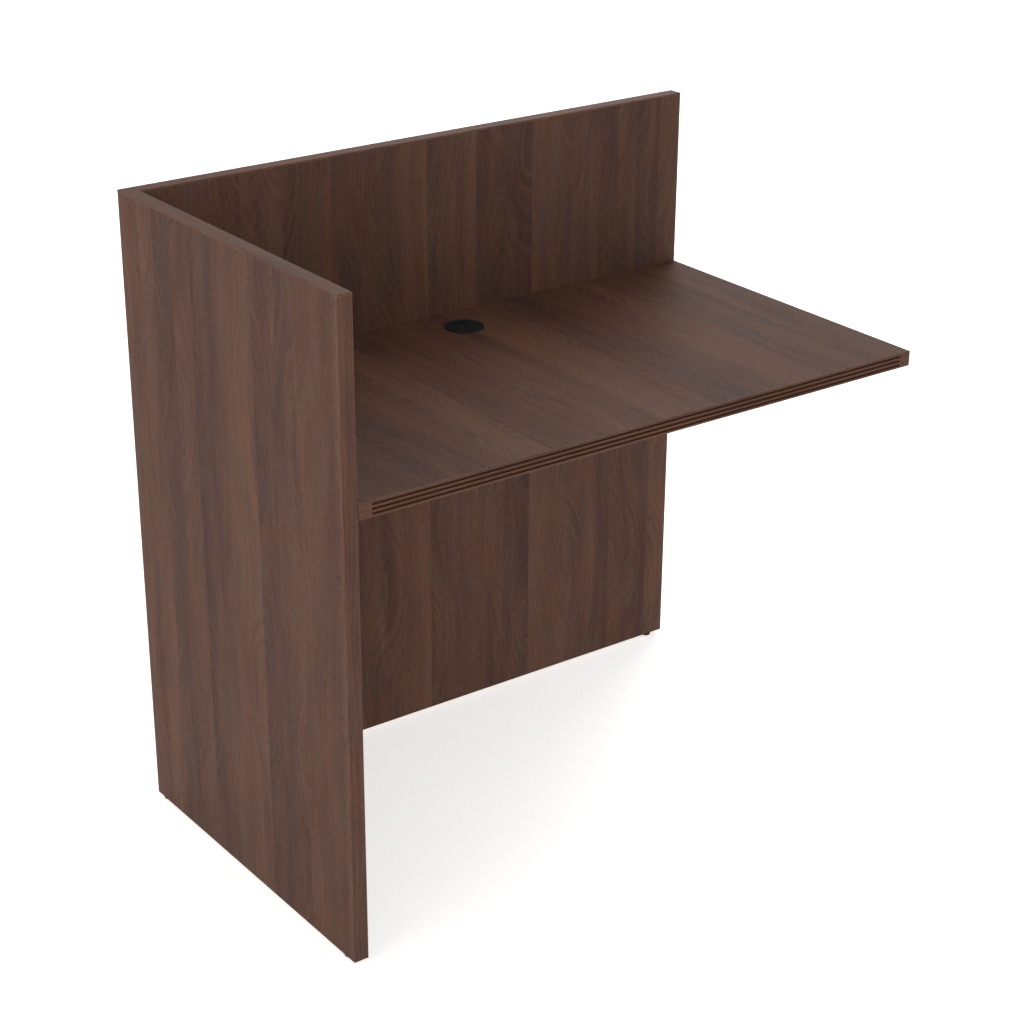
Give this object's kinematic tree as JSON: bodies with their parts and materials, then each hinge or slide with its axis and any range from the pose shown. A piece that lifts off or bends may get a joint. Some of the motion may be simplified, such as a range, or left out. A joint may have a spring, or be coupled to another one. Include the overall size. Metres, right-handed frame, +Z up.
{
  "type": "reception desk return",
  "caption": "L-shaped reception desk return in dark walnut laminate: side panel, raised back panel and a work surface with a fluted front edge, a cable grommet and levelling glides.",
  "frame": {"origin": "on the floor under the middle of the footprint, with the glides screwed in", "axes": "+Z up, +Y towards the back panel, +X from the side panel to the open right end"},
  "size_m": [1.09, 0.618, 1.062],
  "materials": {
    "walnut_laminate": "satin dark walnut laminate on particleboard, grain upright on the panels and front to back on the work surface",
    "walnut_band": "satin walnut PVC edge band",
    "black_plastic": "fine-textured black plastic",
    "brown_plastic": "matt brown cover caps",
    "zinc": "zinc die casting",
    "zinc_plated_steel": "bright zinc-plated steel",
    "brass": "turned brass",
    "beech": "plain beech"
  },
  "bodies": {
    "carcass": {"side_panel": "walnut_laminate", "back_panel": "walnut_laminate", "work_surface": "walnut_laminate", "side_front_band": "walnut_band", "side_rear_band": "walnut_band", "side_top_band": "walnut_band", "back_top_band": "walnut_band", "back_end_band": "walnut_band", "surface_front_band": "walnut_band", "surface_end_band": "walnut_band", "grommet_liner": "black_plastic", "cam_locks": "zinc", "cam_bolts": "zinc_plated_steel", "cam_caps": "brown_plastic", "wood_dowels": "beech", "bracket_back_left": "zinc_plated_steel", "bracket_back_middle": "zinc_plated_steel", "bracket_back_right": "zinc_plated_steel", "bracket_side_rear": "zinc_plated_steel", "bracket_side_front": "zinc_plated_steel", "bracket_screws": "zinc_plated_steel", "joining_inserts": "brass", "glide_inserts": "zinc"},
    "lid": {"grommet_lid": "black_plastic"},
    "shutter": {"grommet_shutter": "black_plastic"},
    "foot_side_front": {"glide_foot_side_front": "black_plastic"},
    "stem_side_front": {"glide_stem_side_front": "zinc_plated_steel"},
    "foot_side_rear": {"glide_foot_side_rear": "black_plastic"},
    "stem_side_rear": {"glide_stem_side_rear": "zinc_plated_steel"},
    "foot_back_left": {"glide_foot_back_left": "black_plastic"},
    "stem_back_left": {"glide_stem_back_left": "zinc_plated_steel"},
    "foot_back_right": {"glide_foot_back_right": "black_plastic"},
    "stem_back_right": {"glide_stem_back_right": "zinc_plated_steel"}
  },
  "joints": [
    {"name": "lid_lift", "type": "slide", "parent": "carcass", "child": "lid", "axis": [0, 0, 1], "range_m": [0, 0.04]},
    {"name": "shutter_turn", "type": "hinge", "parent": "lid", "child": "shutter", "pos_m": [0.025, 0.2076, 0.756], "axis": [0, 0, 1], "range_deg": [0, 180]},
    {"name": "foot_side_front_level", "type": "slide", "parent": "carcass", "child": "foot_side_front", "axis": [0, 0, -1], "range_m": [0, 0.0151]},
    {"name": "stem_side_front_turn", "type": "hinge", "parent": "foot_side_front", "child": "stem_side_front", "pos_m": [-0.5323, -0.277, 0.008], "axis": [0, 0, -1], "range_deg": [0, 4320]},
    {"name": "foot_side_rear_level", "type": "slide", "parent": "carcass", "child": "foot_side_rear", "axis": [0, 0, -1], "range_m": [0, 0.0151]},
    {"name": "stem_side_rear_turn", "type": "hinge", "parent": "foot_side_rear", "child": "stem_side_rear", "pos_m": [-0.5323, 0.292, 0.008], "axis": [0, 0, -1], "range_deg": [0, 4320]},
    {"name": "foot_back_left_level", "type": "slide", "parent": "carcass", "child": "foot_back_left", "axis": [0, 0, -1], "range_m": [0, 0.0151]},
    {"name": "stem_back_left_turn", "type": "hinge", "parent": "foot_back_left", "child": "stem_back_left", "pos_m": [-0.4596, 0.2963, 0.008], "axis": [0, 0, -1], "range_deg": [0, 4320]},
    {"name": "foot_back_right_level", "type": "slide", "parent": "carcass", "child": "foot_back_right", "axis": [0, 0, -1], "range_m": [0, 0.0151]},
    {"name": "stem_back_right_turn", "type": "hinge", "parent": "foot_back_right", "child": "stem_back_right", "pos_m": [0.518, 0.2963, 0.008], "axis": [0, 0, -1], "range_deg": [0, 4320]}
  ],
  "couplings": [
    {"joint": "foot_side_front_level", "follows": "stem_side_front_turn", "m_per_rad": 0.00019894},
    {"joint": "foot_side_rear_level", "follows": "stem_side_rear_turn", "m_per_rad": 0.00019894},
    {"joint": "foot_back_left_level", "follows": "stem_back_left_turn", "m_per_rad": 0.00019894},
    {"joint": "foot_back_right_level", "follows": "stem_back_right_turn", "m_per_rad": 0.00019894}
  ]
}
